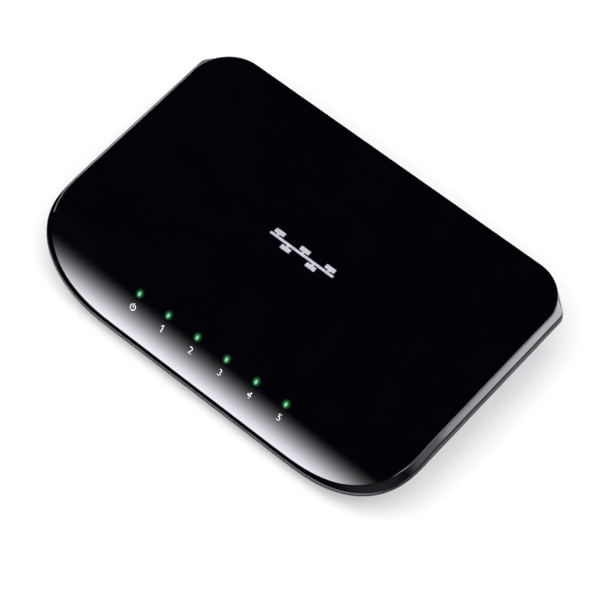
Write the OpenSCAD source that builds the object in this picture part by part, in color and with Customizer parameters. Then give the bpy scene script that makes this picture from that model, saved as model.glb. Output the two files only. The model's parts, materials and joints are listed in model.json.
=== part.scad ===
// Desktop network switch with five ports: glossy top cover over a boat-shaped tray.
// Frame: the feet stand on z = 0, +X is to the right seen from the front, +Y to the rear.

/* [Case] */
// Overall width, across the tray's rim
case_w = 168.5; // [166:0.5:172]
// Overall depth, tray's front rim to the top's rear edge
case_d = 108.4; // [107:0.2:111]
// Overall height, feet included
case_h = 28; // [27.5:0.5:30]
// Wall thickness of the cover and the tray
wall = 2; // [1.6:0.2:2]
// Height of the gap between cover and tray
seam_gap = 0.4; // [0.3:0.1:0.6]
// Radius of the nose, where the top curves down to the front edge
nose_r = 34.3; // [33.5:0.1:36]
// Height of the cover's sloping edge
edge_h = 2.4; // [2.4:0.1:2.8]
// Run of the nose from the flat top to the front edge
nose_run = 30.2; // [28:0.2:31]
// Radius of the top's rear plan corners
top_rear_r = 16; // [12:1:20]
// How far the top's rear edge stands out beyond the port face
rear_eave = 7.4; // [7:0.2:8]

/* [Indicators] */
// Distance between neighbouring indicators
led_pitch = 13.6; // [12:0.2:14]
// Distance from the top's front edge to the indicators
led_inset = 10.6; // [9:0.2:12]
// Diameter of each light pipe
pipe_d = 3.4; // [2.4:0.2:3.6]

/* [Ports] */
// Distance between neighbouring network ports
port_pitch = 17.6; // [17.4:0.1:17.8]
// Width of a port housing
jack_w = 15.7; // [15.2:0.1:15.8]
// Height of a port housing
jack_h = 11.5; // [11.3:0.1:11.6]
// Depth of a port housing
jack_depth = 16; // [15:0.5:20]
// Diameter of the power socket's bore
dc_bore_d = 6.4; // [6:0.1:6.6]
// Diameter of the power socket's centre pin
dc_pin_d = 2.1; // [1.9:0.1:2.5]

/* [Underside] */
// Diameter of each rubber foot
foot_d = 10; // [8:0.5:11]
// Distance between the two wall keyholes
keyhole_span = 84; // [80:1:84]
// Diameter of a keyhole's entry hole
keyhole_d = 8; // [7:0.5:8]
// Width of a keyhole's slot
keyhole_slot_w = 4; // [3.4:0.2:4.4]

/* [Hidden] */
$fn = 48;
eps = 0.02;

// Case planes
front_y = -case_d / 2;
rear_y = case_d / 2;
port_y = rear_y - rear_eave;
tray_half = case_w / 2;
cover_low_half = tray_half - 0.35;
cover_top_half = tray_half - 2.1;
cover_low_front_y = front_y + 0.2;
cover_top_front_y = front_y + 0.4;
cover_edge_t = 0.8;
tray_z = 1.5;
rim_t = wall + 1.6;
lip_t = 1;
lip_h = 0.3;
tray_floor_z = tray_z + wall;
base_half = tray_half - 12.2;
base_front_y = front_y + 7;

// Plan corners at the front: reach along X, reach along Y and roundness of the curve
corner_x = 43.4;
corner_y = 25.5;
top_corner_ease = 1.2;
corner_n = 2.76;
corner_steps = 12;
low_rear_r = 4;
inner_rear_r = 9;

// Side profile: heights at the rear, where each line starts to fall, and its fall radius
nose_y = cover_top_front_y + nose_run;
seam_z = case_h - edge_h;
rim_z = 22;
rim_fall_y = -28.3;
rim_fall_r = 28.3;
profile_steps = 18;

// Board and what stands on it
board_t = 1.6;
board_z = 6.5;
board_top = board_z + board_t;
board_half = 57;
board_front_y = front_y + 9;
board_corner_x = 12;
board_corner_y = 5.5;
board_rear_y = port_y - rim_t - 0.4;
tab_t = 2.2;
tab_play = 0.2;
port_x0 = -28;
port_floor_z = board_top + 2.3;
port_roof_z = board_top + 9.9;
port_half = 5.9;
port_cavity = 13;
contact_y = port_y - 2.3;
contact_z = port_roof_z - 0.5;
contact_l = 8;
contact_t = 0.4;
contact_pitch = 1.02;
contact_slope = 18;
dc_x = -47;
dc_w = 9;
dc_h = 11;
dc_depth = 14;
dc_z = board_top + 6.5;
dc_bore_depth = 9.6;
led_x0 = -35;
led_y = cover_top_front_y + led_inset;
led_h = 0.9;
screw_x = 64;
screw_rear_y = 36.5;
screw_front_y = -22;
standoff_x = 50;
standoff_rear_y = 25;
standoff_front_y = -40;
foot_x = 54;
foot_y = 34;
foot_seat = 0.8;
chip_x = 6;
chip_y = -8;
chip_w = 14;
chip_h = 1.4;
pad_h = 0.5;
transformer_y = 22;

case_screw_spots = [for (sx = [-1, 1], y = [screw_front_y, screw_rear_y]) [sx * screw_x, y]];
board_screw_spots = [for (sx = [-1, 1], y = [standoff_front_y, standoff_rear_y]) [sx * standoff_x, y]];
foot_spots = [for (sx = [-1, 1], sy = [-1, 1]) [sx * foot_x, sy * foot_y]];

function port_x(i) = port_x0 + (i - 1) * port_pitch;
function led_x(i) = led_x0 + i * led_pitch;

// Fall of an arc of radius r that starts level at y0 and curves down towards the front
function fall(y, y0, r) = y < y0 ? r - sqrt(r * r - (y0 - y) * (y0 - y)) : 0;
function top_line(y, t = 0) = case_h - t - fall(y, nose_y, nose_r);
function seam_line(y) = top_line(y, edge_h);
function rim_line(y) = rim_z - fall(y, rim_fall_y, rim_fall_r);
profile_ys = concat(
    [rear_y + 1],
    [for (i = [0 : profile_steps]) front_y + (nose_y - front_y) * (1 - i / profile_steps)]
);

// Closed plan outline: flowing front corners, plain arcs at the rear
function front_corner(hw, yf, cx, cy) = [
    for (i = [0 : corner_steps])
        let (t = 90 * i / corner_steps)
        [hw - cx + cx * pow(sin(t), 2 / corner_n), yf + cy - cy * pow(cos(t), 2 / corner_n)]
];
function rear_corner(hw, yr, r) = [
    for (i = [0 : corner_steps])
        let (t = 90 * i / corner_steps)
        [hw - r + r * cos(t), yr - r + r * sin(t)]
];
function mirrored(points) = [for (i = [len(points) - 1 : -1 : 0]) [-points[i][0], points[i][1]]];
function half_outline(hw, yf, yr, r, inset, ease) = concat(
    front_corner(hw - inset, yf + inset, corner_x + ease - inset, corner_y + ease - inset),
    rear_corner(hw - inset, yr - inset, max(r - inset, 1))
);
function outline(hw, yf, yr, r, inset = 0, ease = 0) = concat(
    half_outline(hw, yf, yr, r, inset, ease),
    mirrored(half_outline(hw, yf, yr, r, inset, ease))
);

module slab(points, z, h) {
    translate([0, 0, z]) linear_extrude(h) polygon(points);
}

// Everything between two side-profile lines, given as lists of [y, z]
module between(upper, lower) {
    translate([-case_w, 0, 0])
        rotate([90, 0, 90])
            linear_extrude(2 * case_w)
                polygon(concat(upper, [for (i = [len(lower) - 1 : -1 : 0]) lower[i]]));
}

module box(size, at) {
    translate([at[0] - size[0] / 2, at[1] - size[1] / 2, at[2]]) cube(size);
}

// Space that the cover's outside (inset 0) or inside (inset = wall) fills above the seam line
module cover_block(inset) {
    top = outline(cover_top_half, cover_top_front_y, rear_y, top_rear_r, inset, top_corner_ease);
    low = outline(cover_low_half, cover_low_front_y, port_y, low_rear_r, inset);
    bottom = inset > 0 ? -10 : 0;
    intersection() {
        union() {
            hull() {
                slab(top, case_h - cover_edge_t, cover_edge_t);
                slab(low, seam_z, eps);
            }
            slab(low, 0, seam_z + eps / 2);
        }
        between(
            [for (y = profile_ys) [y, top_line(y, inset)]],
            [for (y = profile_ys) [y, seam_line(y) + bottom]]
        );
    }
}

// Tabs under the cover's rear edge that close the tray's notches above the sockets
module port_tabs() {
    jack_top = board_top + jack_h;
    tab_h = case_h - wall - jack_top - tab_play + 0.3;
    for (i = [1 : 5])
        box([jack_w, tab_t, tab_h], [port_x(i), port_y - tab_t / 2 - tab_play, jack_top + tab_play]);
    box([dc_w, tab_t, tab_h], [dc_x, port_y - tab_t / 2 - tab_play, jack_top + tab_play]);
}

module top_cover() {
    color([0.02, 0.02, 0.03]) difference() {
        union() {
            difference() {
                cover_block(0);
                cover_block(wall);
            }
            port_tabs();
            for (p = case_screw_spots)
                translate([p[0], p[1], tray_floor_z + 1.7])
                    cylinder(d = 6.5, h = case_h - wall - tray_floor_z - 1.7 + 0.5);
        }
        for (p = case_screw_spots)
            translate([p[0], p[1], tray_floor_z]) cylinder(d = 2.4, h = 12);
        for (i = [0 : 5])
            translate([led_x(i), led_y, 8]) cylinder(d = pipe_d + 0.3, h = case_h);
    }
}

// Lip that stands inside the cover and closes the seam
module lip_block() {
    intersection() {
        slab(outline(tray_half, front_y, port_y, inner_rear_r, rim_t - lip_t), 0, case_h);
        between(
            [for (y = profile_ys) [y, seam_line(y) + lip_h]],
            [for (y = profile_ys) [y, rim_line(y) + 1]]
        );
    }
}

// Boat shape: upright rim above the rim line, drawn in to a smaller base below it
module boat(rear_r, inset, rise, top) {
    hull() {
        intersection() {
            slab(outline(tray_half, front_y, port_y, rear_r, inset), 0, 2 * case_h);
            between(
                [for (y = profile_ys) [y, seam_line(y) + top]],
                [for (y = profile_ys) [y, rim_line(y) + rise]]
            );
        }
        slab(outline(base_half, base_front_y, port_y, rear_r, inset), tray_z + rise, eps);
    }
}

module tray_shell() {
    difference() {
        union() {
            boat(low_rear_r, 0, 0, -seam_gap);
            lip_block();
        }
        boat(inner_rear_r, rim_t, wall, 5);
    }
}

module port_notches() {
    for (i = [1 : 5])
        box([jack_w + 0.4, 12, case_h], [port_x(i), port_y - 2, board_top - 0.4]);
    box([dc_w + 0.4, 12, case_h], [dc_x, port_y - 2, board_top - 0.4]);
}

module keyhole(x) {
    translate([x, 0, tray_z - 1]) {
        cylinder(d = keyhole_d, h = wall + 2);
        translate([0, keyhole_d, 0]) cylinder(d = keyhole_slot_w, h = wall + 2);
        translate([-keyhole_slot_w / 2, 0, 0]) cube([keyhole_slot_w, keyhole_d, wall + 2]);
    }
}

module vents() {
    for (i = [-6 : 6])
        box([2, 16, wall + 2], [i * 4.4, 24, tray_z - 1]);
}

module bottom_tray() {
    color([0.06, 0.06, 0.07]) difference() {
        union() {
            tray_shell();
            for (p = case_screw_spots)
                translate([p[0], p[1], tray_z]) cylinder(d = 9, h = wall + 1.5);
            for (p = board_screw_spots)
                translate([p[0], p[1], tray_z]) cylinder(d = 5.5, h = board_z - tray_z);
        }
        for (p = case_screw_spots) {
            translate([p[0], p[1], tray_z - 1]) cylinder(d = 6.2, h = 2.9);
            translate([p[0], p[1], tray_z]) cylinder(d = 3, h = 8);
        }
        for (p = board_screw_spots)
            translate([p[0], p[1], tray_z + 1.2]) cylinder(d = 2, h = 8);
        for (p = foot_spots)
            translate([p[0], p[1], tray_z - 1]) cylinder(d = foot_d + 0.3, h = 1 + foot_seat);
        port_notches();
        for (sx = [-1, 1]) keyhole(sx * keyhole_span / 2);
        vents();
        box([62, 26, 0.3 + eps], [0, -20, tray_z - eps]);
    }
}

module rating_label() {
    color([0.82, 0.82, 0.8]) box([60, 24, 0.25], [0, -20, tray_z + 0.05]);
}

module foot(x, y) {
    color([0.1, 0.1, 0.1]) translate([x, y, 0]) {
        cylinder(d1 = foot_d - 1, d2 = foot_d, h = 0.5);
        translate([0, 0, 0.5]) cylinder(d = foot_d, h = tray_z + foot_seat - 0.5);
    }
}

// Pan-head screw pointing up, with a cross recess in its head
module screw(x, y, z, head_d, shaft_d, length) {
    translate([x, y, z]) difference() {
        union() {
            cylinder(d = head_d, h = 1.6);
            cylinder(d = shaft_d, h = 1.6 + length);
        }
        box([head_d * 0.6, 0.6, 0.8], [0, 0, -eps]);
        box([0.6, head_d * 0.6, 0.8], [0, 0, -eps]);
    }
}

module case_screws() {
    color("silver") for (p = case_screw_spots)
        screw(p[0], p[1], tray_z + 0.3, 5.6, 2.3, 9);
}

module board_screws() {
    color("silver") for (p = board_screw_spots)
        translate([0, 0, 2 * board_top + 1.6]) mirror([0, 0, 1])
            screw(p[0], p[1], board_top, 4.4, 1.9, 4);
}

// Board with its front corners cut off, to clear the tray's rising walls
module circuit_board() {
    right_side = [
        [board_half - board_corner_x, board_front_y],
        [board_half, board_front_y + board_corner_y],
        [board_half, board_rear_y]
    ];
    color([0.05, 0.3, 0.13]) difference() {
        slab(concat(right_side, mirrored(right_side)), board_z, board_t);
        for (p = board_screw_spots)
            translate([p[0], p[1], board_z - 1]) cylinder(d = 2.6, h = board_t + 2);
        for (sx = [-1, 1])
            box([6, 8, board_t + 2], [sx * board_half, 0, board_z - 1]);
    }
}

module jack(i) {
    x = port_x(i);
    body_y = port_y + 0.2 - jack_depth / 2;
    color([0.12, 0.12, 0.12]) difference() {
        box([jack_w, jack_depth, jack_h], [x, body_y, board_top]);
        box([2 * port_half, 2 * port_cavity, port_roof_z - port_floor_z], [x, port_y + 0.2, port_floor_z]);
        box([6.4, 2 * port_cavity, 2], [x, port_y + 0.2, port_floor_z - 0.8]);
        box([3.6, 2 * port_cavity, 2], [x, port_y + 0.2, port_floor_z - 1.5]);
    }
}

// Eight spring wires, rooted near the mouth's roof and sloping down into the cavity
module contacts(i) {
    color([0.85, 0.7, 0.3]) for (k = [0 : 7])
        translate([port_x(i) + (k - 3.5) * contact_pitch, contact_y, contact_z])
            rotate([contact_slope, 0, 0])
                translate([-contact_t / 2, -contact_l, -contact_t / 2])
                    cube([contact_t, contact_l, contact_t]);
}

module port_leads() {
    color("silver") for (i = [1 : 5], k = [0 : 7])
        translate([port_x(i) + (k - 3.5) * contact_pitch, port_y - 12 - 2.54 * (k % 2), board_z - 1.2])
            cylinder(d = 0.5, h = 1.2);
}

module dc_jack_body() {
    body_y = port_y + 0.2 - dc_depth / 2;
    color([0.1, 0.1, 0.1]) difference() {
        box([dc_w, dc_depth, dc_h], [dc_x, body_y, board_top]);
        translate([dc_x, port_y + 1, dc_z]) rotate([90, 0, 0]) cylinder(d = dc_bore_d, h = dc_bore_depth + 0.8);
        box([3.8, 2 * 11, 2.6], [dc_x, port_y - 0.4, dc_z - 4.6]);
    }
}

module dc_jack_pin() {
    color("silver") translate([dc_x, port_y + 0.2 - dc_bore_depth, dc_z])
        rotate([-90, 0, 0]) cylinder(d = dc_pin_d, h = dc_bore_depth - 0.6);
}

// Leaf that presses on a plug's barrel from below, free at its mouth end
module dc_jack_spring() {
    color("silver") translate([dc_x, port_y - 11, dc_z - 4.2]) rotate([7, 0, 0]) {
        translate([-1.5, 0, 0]) cube([3, 9, 0.3]);
        translate([0, 8.6, 0.3]) rotate([0, 90, 0]) translate([0, 0, -1.5]) cylinder(r = 0.5, h = 3);
    }
}

// One clear moulding: six pins on a bar that stands on the board on two legs
module light_pipe() {
    pin_base = board_top + led_h + 0.4;
    bar_z = 13;
    leg_x = 2.5 * led_pitch + 4;
    color([0.8, 0.95, 0.85]) intersection() {
        union() {
            for (i = [0 : 5])
                translate([led_x(i), led_y, pin_base]) cylinder(d = pipe_d, h = case_h);
            box([5 * led_pitch + 10, 2, 1.6], [led_x0 + 2.5 * led_pitch, led_y, bar_z]);
            for (sx = [-1, 1])
                box([2, 2, bar_z - board_top + eps], [led_x0 + 2.5 * led_pitch + sx * leg_x, led_y, board_top]);
        }
        between(
            [for (y = profile_ys) [y, top_line(y) - 0.05]],
            [for (y = profile_ys) [y, 0]]
        );
    }
}

module led(i) {
    color([0.6, 0.9, 0.6]) {
        box([2, 1.25, 0.35], [led_x(i), led_y, board_top]);
        box([1.3, 1.1, led_h - 0.35], [led_x(i), led_y, board_top + 0.35]);
    }
}

module switch_chip() {
    color([0.1, 0.1, 0.1]) {
        box([chip_w, chip_w, chip_h - 0.1], [chip_x, chip_y, board_top + 0.1]);
        for (a = [0 : 90 : 270], k = [-15 : 15])
            translate([chip_x, chip_y, board_top])
                rotate([0, 0, a]) box([0.2, 1.2, 0.3], [k * 0.4, chip_w / 2 + 0.5, 0]);
    }
}

module thermal_pad() {
    color([0.6, 0.62, 0.66]) box([13, 13, pad_h], [chip_x, chip_y, board_top + chip_h]);
}

module heat_sink() {
    z = board_top + chip_h + pad_h;
    color([0.7, 0.7, 0.72]) {
        box([20, 20, 1.6], [chip_x, chip_y, z]);
        for (k = [-4 : 4]) box([0.9, 20, 6], [chip_x + k * 2.3, chip_y, z + 1.5]);
    }
}

module transformer(i) {
    color([0.13, 0.13, 0.14]) {
        box([7, 15, 4.2], [port_x(i), transformer_y, board_top + 0.3]);
        for (sx = [-1, 1], k = [-5 : 5])
            box([1.6, 0.45, 0.35], [port_x(i) + sx * 4.2, transformer_y + k * 1.27, board_top]);
    }
}

module crystal() {
    color("silver") {
        translate([-14, -12, board_top]) linear_extrude(0.6) square([11, 4.7], center = true);
        translate([-14, -12, board_top + 0.6]) linear_extrude(2.9) square([9.6, 3.4], center = true);
    }
}

module power_inductor() {
    color([0.25, 0.25, 0.26]) {
        box([10, 10, 3.4], [-44, -4, board_top]);
        translate([-44, -4, board_top + 3.4]) cylinder(d = 7, h = 0.3);
    }
}

module radial_capacitor(x, y, d, h) {
    color([0.08, 0.12, 0.3]) {
        translate([x, y, board_top]) cylinder(d = d, h = h);
        translate([x, y, board_top + h]) cylinder(d = d - 1, h = 0.2);
    }
}

module input_capacitor() {
    radial_capacitor(-46, 16, 8, 11.5);
}

module output_capacitor() {
    radial_capacitor(-44, -18, 6.3, 9);
}

module regulator(x, y) {
    color([0.12, 0.12, 0.12]) {
        box([3.9, 4.9, 1.5], [x, y, board_top + 0.1]);
        for (sx = [-1, 1], k = [-1.5 : 1])
            box([1.2, 0.4, 0.25], [x + sx * 2.4, y + k * 1.27, board_top]);
    }
}

module core_regulator() {
    regulator(-33, -4);
}

module supply_regulator() {
    regulator(-33, -16);
}

module flash_memory() {
    regulator(24, -24);
}

module chip_resistors() {
    color([0.05, 0.05, 0.05]) {
        for (i = [0 : 5]) box([1.6, 0.8, 0.5], [led_x(i) + 4, led_y + 4, board_top]);
        for (i = [0 : 6]) box([0.8, 1.6, 0.5], [-8 + 4.5 * i, -22, board_top]);
    }
}

module chip_capacitors() {
    color([0.6, 0.5, 0.35]) {
        for (i = [0 : 7]) box([1.6, 0.9, 0.8], [-9 + 4.3 * i, 9, board_top]);
        for (i = [0 : 4]) box([0.9, 1.6, 0.8], [24, -16 + 4 * i, board_top]);
    }
}

top_cover();
bottom_tray();
rating_label();
case_screws();
board_screws();
circuit_board();
light_pipe();
foot(-foot_x, -foot_y);  // foot_front_left
foot(foot_x, -foot_y);  // foot_front_right
foot(-foot_x, foot_y);  // foot_rear_left
foot(foot_x, foot_y);  // foot_rear_right
jack(1);  // port_1_jack
jack(2);  // port_2_jack
jack(3);  // port_3_jack
jack(4);  // port_4_jack
jack(5);  // port_5_jack
contacts(1);  // port_1_contacts
contacts(2);  // port_2_contacts
contacts(3);  // port_3_contacts
contacts(4);  // port_4_contacts
contacts(5);  // port_5_contacts
port_leads();
dc_jack_body();
dc_jack_pin();
dc_jack_spring();
led(0);  // led_power
led(1);  // led_1
led(2);  // led_2
led(3);  // led_3
led(4);  // led_4
led(5);  // led_5
switch_chip();
thermal_pad();
heat_sink();
transformer(1);  // port_1_transformer
transformer(2);  // port_2_transformer
transformer(3);  // port_3_transformer
transformer(4);  // port_4_transformer
transformer(5);  // port_5_transformer
crystal();
power_inductor();
input_capacitor();
output_capacitor();
core_regulator();
supply_regulator();
flash_memory();
chip_resistors();
chip_capacitors();
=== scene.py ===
"""Desktop network switch with five ports: its looks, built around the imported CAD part."""

import json
import math

import bmesh
import bpy
from mathutils import Matrix, Vector


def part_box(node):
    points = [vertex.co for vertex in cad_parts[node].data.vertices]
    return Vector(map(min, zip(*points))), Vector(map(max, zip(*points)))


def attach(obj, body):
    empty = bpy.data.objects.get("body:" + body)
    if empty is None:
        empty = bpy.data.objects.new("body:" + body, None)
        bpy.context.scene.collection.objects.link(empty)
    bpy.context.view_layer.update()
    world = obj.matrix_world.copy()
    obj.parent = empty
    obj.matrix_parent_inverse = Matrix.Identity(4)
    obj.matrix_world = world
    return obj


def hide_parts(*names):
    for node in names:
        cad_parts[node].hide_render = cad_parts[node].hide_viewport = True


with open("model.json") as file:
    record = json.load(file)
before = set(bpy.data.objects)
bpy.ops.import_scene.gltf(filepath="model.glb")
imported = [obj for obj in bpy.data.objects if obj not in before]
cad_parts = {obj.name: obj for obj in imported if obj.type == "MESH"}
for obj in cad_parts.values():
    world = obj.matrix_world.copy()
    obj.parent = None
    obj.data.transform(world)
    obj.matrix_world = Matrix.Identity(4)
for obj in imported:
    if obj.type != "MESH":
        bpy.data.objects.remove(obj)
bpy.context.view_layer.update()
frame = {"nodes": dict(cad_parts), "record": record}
scene = bpy.context.scene
MM = 0.001

# Case sizes, from the frame
TRAY_LO, TRAY_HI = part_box("bottom_tray")
_, COVER_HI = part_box("top_cover")
TRAY_HALF = TRAY_HI.x
FRONT_Y = TRAY_LO.y
REAR_Y = COVER_HI.y
PORT_Y = TRAY_HI.y
TOP_Z = COVER_HI.z
BASE_Z = TRAY_LO.z
COVER_HALF = TRAY_HALF - 0.35 * MM
TOP_HALF = TRAY_HALF - 2.1 * MM
COVER_FRONT_Y = FRONT_Y + 0.2 * MM
TOP_FRONT_Y = FRONT_Y + 0.4 * MM
BASE_HALF = TRAY_HALF - 12.2 * MM
BASE_FRONT_Y = FRONT_Y + 7 * MM
WALL = 2 * MM
RIM_T = 3.6 * MM
LIP_OUT = 2.6 * MM
LIP_H = 0.3 * MM
SEAM_GAP = 0.4 * MM
GROOVE_IN, GROOVE_H = 1.1 * MM, 1.0 * MM
EDGE_H = 2.4 * MM
EDGE_T = 0.5 * MM
TAB_T, TAB_PLAY = 2.2 * MM, 0.2 * MM
FLOOR_TOP_Z = BASE_Z + WALL
BOARD_LO, BOARD_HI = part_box("circuit_board")

# Plan corners: superelliptic at the front, plain arcs at the rear
CORNER_X, CORNER_Y, CORNER_N = 43.4 * MM, 25.5 * MM, 2.76
TOP_EASE = 1.2 * MM
TOP_REAR_R, LOW_REAR_R, INNER_REAR_R = 16 * MM, 4 * MM, 9 * MM

# Side profile: where each line starts to fall towards the front, and its radius
NOSE_Y, NOSE_R = TOP_FRONT_Y + 30.2 * MM, 34.3 * MM
RIM_Z, RIM_Y, RIM_R = 22 * MM, -28.3 * MM, 28.3 * MM


def fall(y, start_y, radius):
    if y >= start_y:
        return 0.0
    return radius - math.sqrt(radius * radius - (start_y - y) ** 2)


def top_z(y, depth=0.0):
    return TOP_Z - depth - fall(y, NOSE_Y, NOSE_R)


def seam_z(y):
    return top_z(y, EDGE_H)


def rim_z(y):
    return RIM_Z - fall(y, RIM_Y, RIM_R)


# ---------------------------------------------------------------- mesh helpers

def add_piece(name, mesh):
    piece = bpy.data.objects.new(name, mesh)
    scene.collection.objects.link(piece)
    return piece


def mesh_of(name, verts, faces):
    mesh = bpy.data.meshes.new(name)
    mesh.from_pydata([tuple(v) for v in verts], [], faces)
    mesh.validate()
    bm = bmesh.new()
    bm.from_mesh(mesh)
    bmesh.ops.remove_doubles(bm, verts=bm.verts, dist=1e-7)
    bmesh.ops.recalc_face_normals(bm, faces=bm.faces)
    bm.to_mesh(mesh)
    bm.free()
    return mesh


def shade(mesh, sharp_deg=32):
    mesh.shade_smooth()
    mesh.set_sharp_from_angle(angle=math.radians(sharp_deg))


def loft(name, rings, capped=True):
    """Closed skin over rings that have the same number of points."""
    count = len(rings[0])
    verts = [p for ring in rings for p in ring]
    faces = []
    for k in range(len(rings) - 1):
        for i in range(count):
            j = (i + 1) % count
            faces.append((k * count + i, k * count + j, (k + 1) * count + j, (k + 1) * count + i))
    if capped:
        last = (len(rings) - 1) * count
        faces.append(tuple(range(count)))
        faces.append(tuple(last + i for i in range(count)))
    return mesh_of(name, verts, faces)


def lathe(name, profile, segments=48):
    """Solid of revolution about Z. profile holds (radius, z) from the bottom of the axis to its top."""
    turns = [2 * math.pi * i / segments for i in range(segments)]
    rings = [[Vector((r * math.cos(a), r * math.sin(a), z)) for a in turns] for r, z in profile]
    return loft(name, rings)


def cylinder(radius, lo, hi, segments=48):
    return lathe("cylinder", [(0, lo), (radius, lo), (radius, hi), (0, hi)], segments)


def box_mesh(name, lo, hi, bevel=0.0, steps=2):
    bm = bmesh.new()
    bmesh.ops.create_cube(bm, size=1)
    for v in bm.verts:
        v.co = Vector(lo[a] + (v.co[a] + 0.5) * (hi[a] - lo[a]) for a in range(3))
    if bevel:
        bmesh.ops.bevel(bm, geom=bm.edges[:], offset=bevel, segments=steps, profile=0.5, affect="EDGES")
    mesh = bpy.data.meshes.new(name)
    bm.to_mesh(mesh)
    bm.free()
    return mesh


def tube(name, path, radius, sides=10):
    """Round wire along path, with flat ends."""
    rings = []
    for i, p in enumerate(path):
        ahead = (path[min(i + 1, len(path) - 1)] - path[max(i - 1, 0)]).normalized()
        side = ahead.cross(Vector((1, 0, 0))).normalized()
        other = side.cross(ahead)
        turns = [2 * math.pi * k / sides for k in range(sides)]
        rings.append([p + radius * (math.cos(a) * side + math.sin(a) * other) for a in turns])
    return loft(name, rings)


def joined(name, meshes):
    bm = bmesh.new()
    for m in meshes:
        bm.from_mesh(m)
    mesh = bpy.data.meshes.new(name)
    bm.to_mesh(mesh)
    bm.free()
    return mesh


def moved(mesh, offset, turn=None):
    copy = mesh.copy()
    copy.transform(Matrix.Translation(offset) @ (turn or Matrix.Identity(4)))
    return copy


def combine(piece, meshes, operation="DIFFERENCE"):
    """Cuts each closed mesh from piece, or joins it on."""
    tools = [add_piece("tool", mesh) for mesh in meshes]
    for tool in tools:
        step = piece.modifiers.new("combine", "BOOLEAN")
        step.operation = operation
        step.object = tool
        step.solver = "MANIFOLD"
    bpy.context.view_layer.update()
    shape = bpy.data.meshes.new_from_object(piece.evaluated_get(bpy.context.evaluated_depsgraph_get()))
    piece.modifiers.clear()
    piece.data = shape
    for tool in tools:
        bpy.data.objects.remove(tool)
    return piece


# ---------------------------------------------------------------- materials

# Where most of a noise pattern's lows and highs lie
TROUGH, CREST = 0.3, 0.7


def new_material(name):
    mat = bpy.data.materials.new(name)
    mat.use_nodes = True
    nodes, links = mat.node_tree.nodes, mat.node_tree.links
    bsdf = nodes["Principled BSDF"]
    return mat, nodes, links, bsdf


def object_noise(nodes, links, scale, detail=4.0, stretch=(1, 1, 1)):
    """Noise in the object's own coordinates, scale in features per metre."""
    coord = nodes.new("ShaderNodeTexCoord")
    mapping = nodes.new("ShaderNodeMapping")
    mapping.inputs["Scale"].default_value = stretch
    noise = nodes.new("ShaderNodeTexNoise")
    noise.inputs["Scale"].default_value = scale
    noise.inputs["Detail"].default_value = detail
    links.new(coord.outputs["Object"], mapping.inputs["Vector"])
    links.new(mapping.outputs["Vector"], noise.inputs["Vector"])
    return noise


def ramp(nodes, links, source, stops):
    """Colour ramp over source. stops holds (position, grey or colour)."""
    node = nodes.new("ShaderNodeValToRGB")
    elements = node.color_ramp.elements
    while len(elements) < len(stops):
        elements.new(0.5)
    for element, (place, value) in zip(elements, stops):
        element.position = place
        element.color = (value, value, value, 1) if isinstance(value, float) else (*value, 1)
    links.new(source, node.inputs["Fac"])
    return node


def vary(nodes, links, bsdf, noise, socket, low, high):
    """Drives a socket with the noise, from low in its troughs to high on its crests."""
    stops = ramp(nodes, links, noise.outputs["Fac"], [(TROUGH, low), (CREST, high)])
    links.new(stops.outputs["Color"], bsdf.inputs[socket])


def feed(links, socket, value):
    """Sets the socket to a number, or links an output to it."""
    if isinstance(value, (int, float)):
        socket.default_value = value
    else:
        links.new(value, socket)


def math_maker(nodes, links):
    """Function that adds a math node and returns its output."""
    def math_node(operation, *values):
        node = nodes.new("ShaderNodeMath")
        node.operation = operation
        for socket, value in zip(node.inputs, values):
            feed(links, socket, value)
        return node.outputs[0]

    return math_node


def bump(nodes, links, bsdf, height, strength, distance):
    node = nodes.new("ShaderNodeBump")
    node.inputs["Strength"].default_value = strength
    node.inputs["Distance"].default_value = distance
    links.new(height, node.inputs["Height"])
    links.new(node.outputs["Normal"], bsdf.inputs["Normal"])
    return node


def mottled(name, colours, roughness, scale, metallic=0.0, relief=0.0, relief_scale=None, stretch=(1, 1, 1),
            ior=1.5, coat=0.0):
    """Material whose colour and roughness vary with noise, and whose surface has fine relief (metres)."""
    mat, nodes, links, bsdf = new_material(name)
    cloud = object_noise(nodes, links, scale, stretch=stretch)
    vary(nodes, links, bsdf, cloud, "Base Color", *colours)
    vary(nodes, links, bsdf, cloud, "Roughness", *roughness)
    bsdf.inputs["Metallic"].default_value = metallic
    bsdf.inputs["IOR"].default_value = ior
    bsdf.inputs["Coat Weight"].default_value = coat
    if relief:
        grain = object_noise(nodes, links, relief_scale, detail=2.0, stretch=stretch)
        bump(nodes, links, bsdf, grain.outputs["Fac"], 1.0, relief)
    return mat


def cover_material():
    """Polished black moulding: a faint orange peel, hairline rubbing marks and a few finger smudges."""
    mat, nodes, links, bsdf = new_material("cover_gloss")
    tint = object_noise(nodes, links, 60)
    vary(nodes, links, bsdf, tint, "Base Color", (0.0007, 0.0005, 0.0016), (0.0010, 0.0007, 0.0021))
    smudge = object_noise(nodes, links, 45, detail=6.0, stretch=(1, 1.6, 1))
    hairs = object_noise(nodes, links, 900, detail=3.0, stretch=(0.06, 1, 1))
    mixed = math_maker(nodes, links)("MULTIPLY", smudge.outputs["Fac"], hairs.outputs["Fac"])
    rough = ramp(nodes, links, mixed, [(0.12, 0.035), (0.42, 0.085)])
    links.new(rough.outputs["Color"], bsdf.inputs["Roughness"])
    bsdf.inputs["IOR"].default_value = 1.5
    peel = object_noise(nodes, links, 260, detail=1.0)
    bump(nodes, links, bsdf, peel.outputs["Fac"], 0.35, 0.000003)
    return mat


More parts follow.
